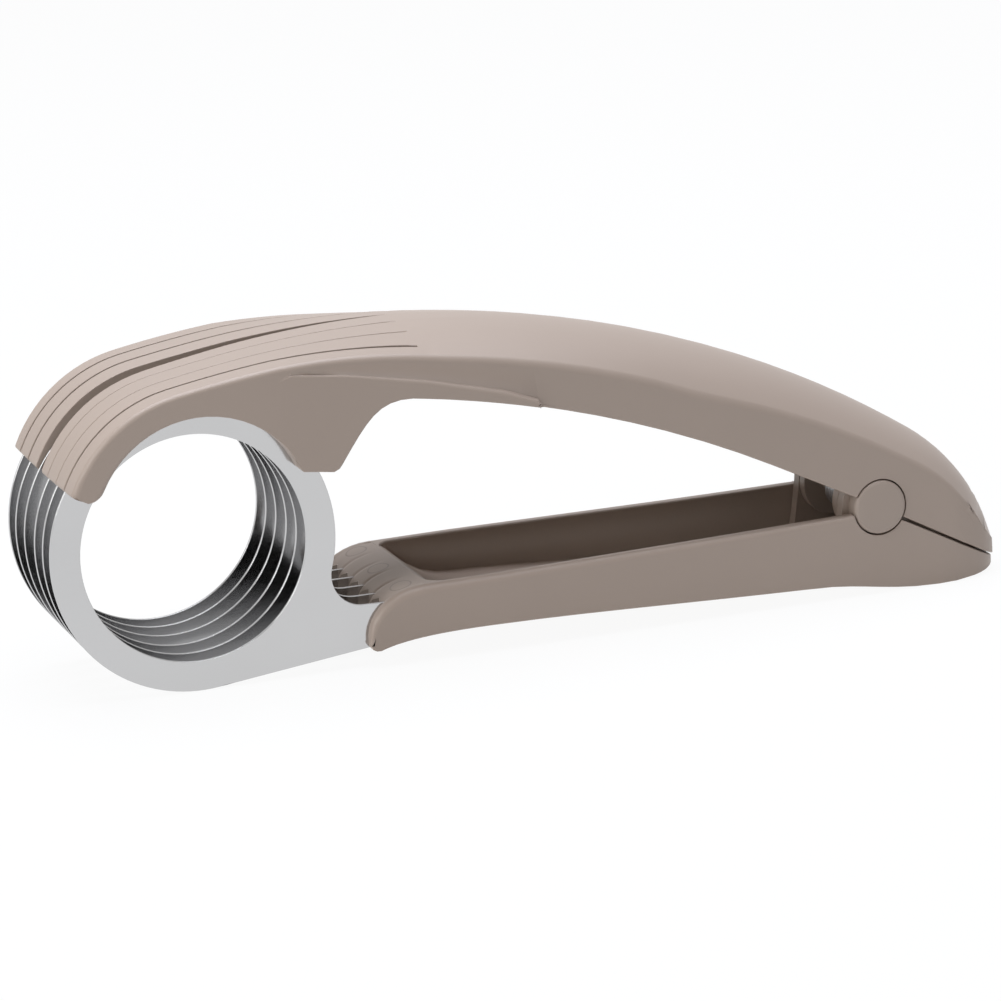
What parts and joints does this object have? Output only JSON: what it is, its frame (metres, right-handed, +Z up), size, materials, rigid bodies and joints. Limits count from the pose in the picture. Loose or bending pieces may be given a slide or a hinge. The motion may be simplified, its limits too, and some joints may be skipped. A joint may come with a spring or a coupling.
{
  "type": "egg slicer",
  "caption": "Pliers-style egg slicer: a trough handle carries a stack of steel ring blades, and a sprung arm with curved fingers squeezes the food through them.",
  "frame": {"origin": "middle of the slicer's bounding box, on the table it lies on with the arm sprung open", "axes": "+X from the ring blades to the hinge, +Y across the width, +Z up from the table to the arm"},
  "size_m": [0.1924, 0.0432, 0.0626],
  "materials": {
    "body_plastic": "satin moulded plastic, warm greige",
    "pin_plastic": "satin moulded plastic, a shade darker than the body",
    "blade_steel": "brushed sheet with bright bevelled rims",
    "spring_wire": "drawn spring wire"
  },
  "bodies": {
    "handle_body": {"handle": "body_plastic", "blade_1": "blade_steel", "blade_2": "blade_steel", "blade_3": "blade_steel", "blade_4": "blade_steel", "blade_5": "blade_steel", "blade_6": "blade_steel", "pivot_pin": "pin_plastic", "pin_cap": "pin_plastic", "return_spring": "spring_wire"},
    "arm_body": {"arm": "body_plastic"}
  },
  "joints": [
    {"name": "squeeze", "type": "hinge", "parent": "handle_body", "child": "arm_body", "pos_m": [0.0686, 0, 0.0172], "axis": [0, -1, 0], "range_deg": [0, 21], "stiffness_Nm_per_rad": 0.2, "springref_deg": -34.38, "deforming": ["return_spring"]}
  ]
}
